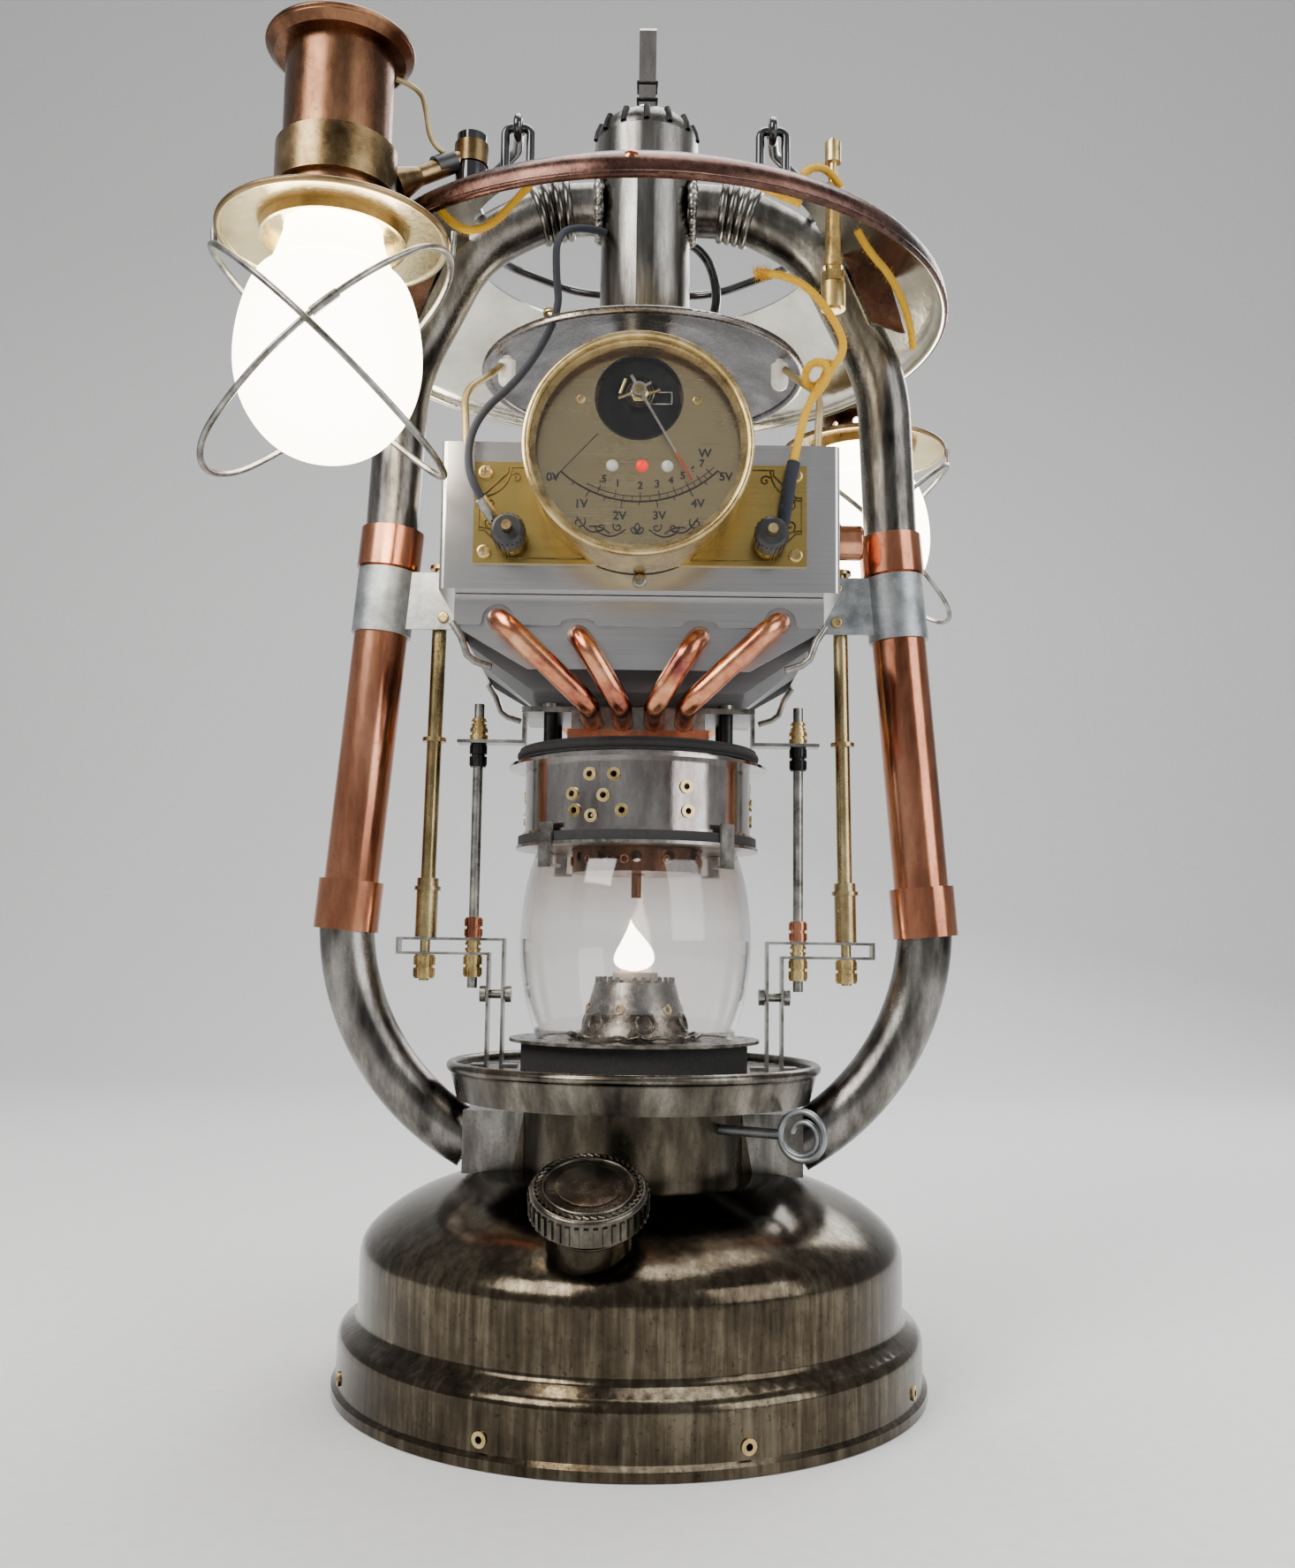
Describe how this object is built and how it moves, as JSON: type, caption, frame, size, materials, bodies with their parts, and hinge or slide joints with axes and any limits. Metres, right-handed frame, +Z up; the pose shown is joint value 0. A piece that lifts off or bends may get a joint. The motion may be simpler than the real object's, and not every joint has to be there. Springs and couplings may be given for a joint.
{
  "type": "thermoelectric table lamp",
  "caption": "Oil lantern rebuilt as a thermoelectric lamp: tank, glass globe, heat pipes, dial meter, canopy and bulbs on swing arms.",
  "frame": {"origin": "centre of the tank's foot, on the surface that the lamp stands on", "axes": "+X right and +Y back as seen from the meter's side, +Z up"},
  "size_m": [0.2222, 0.2122, 0.412],
  "materials": {
    "tank_steel": "aged, brown-streaked steel",
    "tube_steel": "aged drawn steel, half matt",
    "dark_copper": "dark patinated copper outside, bright nickel inside",
    "copper": "mottled copper, satin",
    "brass": "satin brass",
    "bright_steel": "polished plated steel",
    "galvanised": "dull galvanised sheet",
    "aluminium": "brushed",
    "blackened": "black, satin",
    "black_wire": "glossy black enamel",
    "fibre": "matt black fibre",
    "burner_brass": "heat-darkened brass",
    "wick_cotton": "woven cotton, charred at the top",
    "clear_glass": "clear, smoked near the top",
    "opal_glass": "opal, lit",
    "lens": "clear and red lenses",
    "ceramic": "ceramic plates",
    "board": "green lacquered board",
    "dial_brass": "brushed brass, printed",
    "needle_red": "bright steel with a red tip",
    "black_plastic": "knurled black",
    "lead_cloth": "cloth braid, yellow or black"
  },
  "bodies": {
    "frame": {"tank_shell": "tank_steel", "tank_bottom": "tank_steel", "brass_eyelets": "brass", "filler_neck": "tank_steel", "neck_drum": "tank_steel", "tray": "tank_steel", "fibre_gaskets": "fibre", "burner_base": "burner_brass", "burner_cone": "burner_brass", "globe": "clear_glass", "clip_ring": "bright_steel", "fire_drum": "bright_steel", "deflector_cup": "bright_steel", "teg_module": "ceramic", "cold_block": "copper", "heat_pipes": "copper", "cooling_fins": "aluminium", "clamp_bar": "bright_steel", "casing": "aluminium", "power_board": "board", "face_plate": "brass", "brass_fasteners": "brass", "meter_can": "brass", "meter_glass": "clear_glass", "meter_dial": "dial_brass", "meter_movement": "blackened", "indicator_lamps": "lens", "terminals": "brass", "lower_tubes": "tube_steel", "copper_sleeves": "copper", "tube_collars": "copper", "upper_tubes": "tube_steel", "clamp_bands": "galvanised", "column": "tube_steel", "top_hook": "tube_steel", "canopy": "dark_copper", "canopy_ears": "black_wire", "steel_cap": "tube_steel", "struts": "brass", "strut_brackets": "bright_steel", "leads": "lead_cloth"},
    "cap_seat": {"cap_seal": "fibre"},
    "cap": {"filler_cap": "brass"},
    "raiser": {"wick_raiser": "brass"},
    "wick_band": {"wick": "wick_cotton"},
    "bail": {"bail_handle": "black_wire"},
    "needle": {"meter_needle": "needle_red"},
    "nut_left": {"post_knob_left": "black_plastic"},
    "nut_right": {"post_knob_right": "black_plastic"},
    "switch": {"switch_knob": "copper"},
    "swing_lamp_left": {"lamp_arm_left": "brass", "lamp_socket_left": "copper", "lamp_shade_left": "brass", "lamp_bulb_left": "opal_glass", "lamp_guard_left": "black_wire"},
    "swing_lamp_right": {"lamp_arm_right": "brass", "lamp_socket_right": "copper", "lamp_shade_right": "brass", "lamp_bulb_right": "opal_glass", "lamp_guard_right": "black_wire"}
  },
  "joints": [
    {"name": "cap_lift", "type": "slide", "parent": "frame", "child": "cap_seat", "axis": [0, -0.454, 0.891], "range_m": [0, 0.006]},
    {"name": "cap_turn", "type": "hinge", "parent": "cap_seat", "child": "cap", "pos_m": [-0.01, -0.0613, 0.0455], "axis": [0, -0.454, 0.891], "range_deg": [0, 1080]},
    {"name": "raiser_turn", "type": "hinge", "parent": "frame", "child": "raiser", "pos_m": [-0.00285, -0.00494, 0.0716], "axis": [0.866, -0.5, 0], "range_deg": [-110, 42]},
    {"name": "wick_rise", "type": "slide", "parent": "frame", "child": "wick_band", "axis": [0, 0, 1], "range_m": [-0.008, 0.003]},
    {"name": "bail_swing", "type": "hinge", "parent": "frame", "child": "bail", "pos_m": [0, -0.055, 0.3446], "axis": [1, 0, 0], "range_deg": [0, 150]},
    {"name": "needle_turn", "type": "hinge", "parent": "frame", "child": "needle", "pos_m": [-0.0006, -0.0684, 0.2648], "axis": [0, -1, 0], "range_deg": [-70.4, 15]},
    {"name": "nut_left_turn", "type": "hinge", "parent": "frame", "child": "nut_left", "pos_m": [-0.0346, -0.058, 0.2294], "axis": [0, -1, 0], "range_deg": [0, 720]},
    {"name": "nut_right_turn", "type": "hinge", "parent": "frame", "child": "nut_right", "pos_m": [0.0346, -0.058, 0.2294], "axis": [0, -1, 0], "range_deg": [0, 720]},
    {"name": "switch_turn", "type": "hinge", "parent": "frame", "child": "switch", "pos_m": [0.06, -0.01, 0.2418], "axis": [1, 0, 0], "range_deg": [0, 270]},
    {"name": "lamp_left_swing", "type": "hinge", "parent": "frame", "child": "swing_lamp_left", "pos_m": [-0.047, -0.06, 0.333], "axis": [0, 0, 1], "range_deg": [-6, 18]},
    {"name": "lamp_right_swing", "type": "hinge", "parent": "frame", "child": "swing_lamp_right", "pos_m": [0.047, 0.06, 0.333], "axis": [0, 0, 1], "range_deg": [-6, 18]}
  ],
  "couplings": [
    {"joint": "cap_turn", "follows": "cap_lift", "rad_per_m": 3141},
    {"joint": "raiser_turn", "follows": "wick_rise", "rad_per_m": 238}
  ]
}
